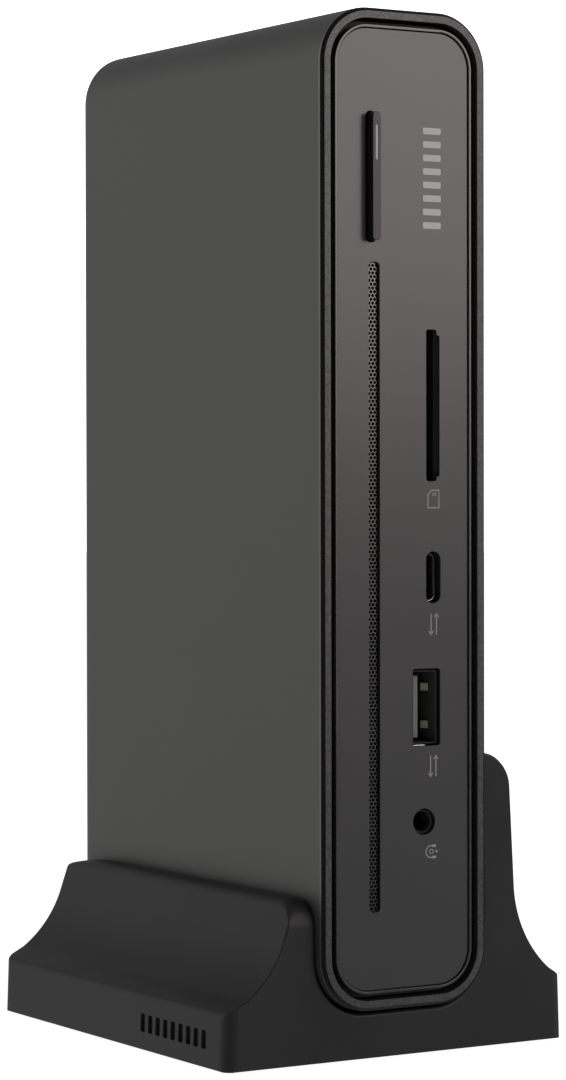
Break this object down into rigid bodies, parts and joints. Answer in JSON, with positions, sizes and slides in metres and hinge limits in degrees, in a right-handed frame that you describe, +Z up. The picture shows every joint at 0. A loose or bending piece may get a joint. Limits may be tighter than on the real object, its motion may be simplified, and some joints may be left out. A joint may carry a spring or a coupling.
{
  "type": "laptop docking station",
  "caption": "Slim upright laptop docking station in a desk cradle, with front and rear sockets, a long vent slot and a tall power button.",
  "frame": {"origin": "on the floor under the middle of the whole object's box", "axes": "+Z up, +Y to the back, +X to the right when seen from the front panel"},
  "size_m": [0.0716, 0.0882, 0.1855],
  "materials": {
    "sleeve": "graphite anodised, fine bead-blasted",
    "rim": "graphite anodised, satin",
    "panel": "smooth satin graphite",
    "black_plastic": "black moulded",
    "button": "graphite face with glossy black sides",
    "light_guide": "translucent",
    "grille_steel": "dark perforated sheet",
    "socket_steel": "nickel plated",
    "screw_steel": "zinc plated",
    "ballast_steel": "bare",
    "bare_aluminium": "bare",
    "board": "solder mask on laminate",
    "stand_plastic": "fine moulded texture",
    "rubber": "matte"
  },
  "bodies": {
    "cradle": {"stand_body": "stand_plastic", "base_plate": "stand_plastic", "ballast_plate": "ballast_steel", "cradle_pad_1": "rubber", "cradle_pad_2": "rubber", "foot_1": "rubber", "foot_2": "rubber", "foot_3": "rubber", "foot_4": "rubber", "base_screw_1": "screw_steel", "base_screw_2": "screw_steel", "base_screw_3": "screw_steel", "base_screw_4": "screw_steel"},
    "dock": {"sleeve": "sleeve", "trim_ring": "rim", "front_panel": "panel", "front_frame": "black_plastic", "rear_panel": "black_plastic", "audio_jack": "black_plastic", "usb_a_front_tongue": "black_plastic", "usb_c_front_tongue": "black_plastic", "power_inlet": "black_plastic", "hub_chip": "black_plastic", "video_chip": "black_plastic", "choke": "black_plastic", "ribbon_cable": "black_plastic", "status_led": "light_guide", "vent_grille": "grille_steel", "card_reader": "socket_steel", "usb_c_front_shell": "socket_steel", "usb_a_front_shell": "socket_steel", "host_port": "socket_steel", "hdmi_port": "socket_steel", "display_port_1": "socket_steel", "display_port_2": "socket_steel", "usb_a_rear_1": "socket_steel", "usb_a_rear_2": "socket_steel", "ethernet_port": "socket_steel", "switch_body": "socket_steel", "chassis_plate": "socket_steel", "rear_screw_1": "screw_steel", "rear_screw_2": "screw_steel", "rear_screw_3": "screw_steel", "rear_screw_4": "screw_steel", "board_screw_1": "screw_steel", "board_screw_2": "screw_steel", "board_screw_3": "screw_steel", "board_screw_4": "screw_steel", "heat_sink": "bare_aluminium", "capacitor_1": "bare_aluminium", "capacitor_2": "bare_aluminium", "main_board": "board", "button_board": "board"},
    "button": {"power_button": "button", "button_light_guide": "light_guide", "switch_plunger": "black_plastic"}
  },
  "joints": [
    {"name": "dock_lift", "type": "slide", "parent": "cradle", "child": "dock", "axis": [0, 0, 1], "range_m": [0, 0.05]},
    {"name": "power_button_press", "type": "slide", "parent": "dock", "child": "button", "axis": [0, 1, 0], "range_m": [0, 0.0004], "stiffness_N_per_m": 1500, "springref_m": -0.0004}
  ]
}
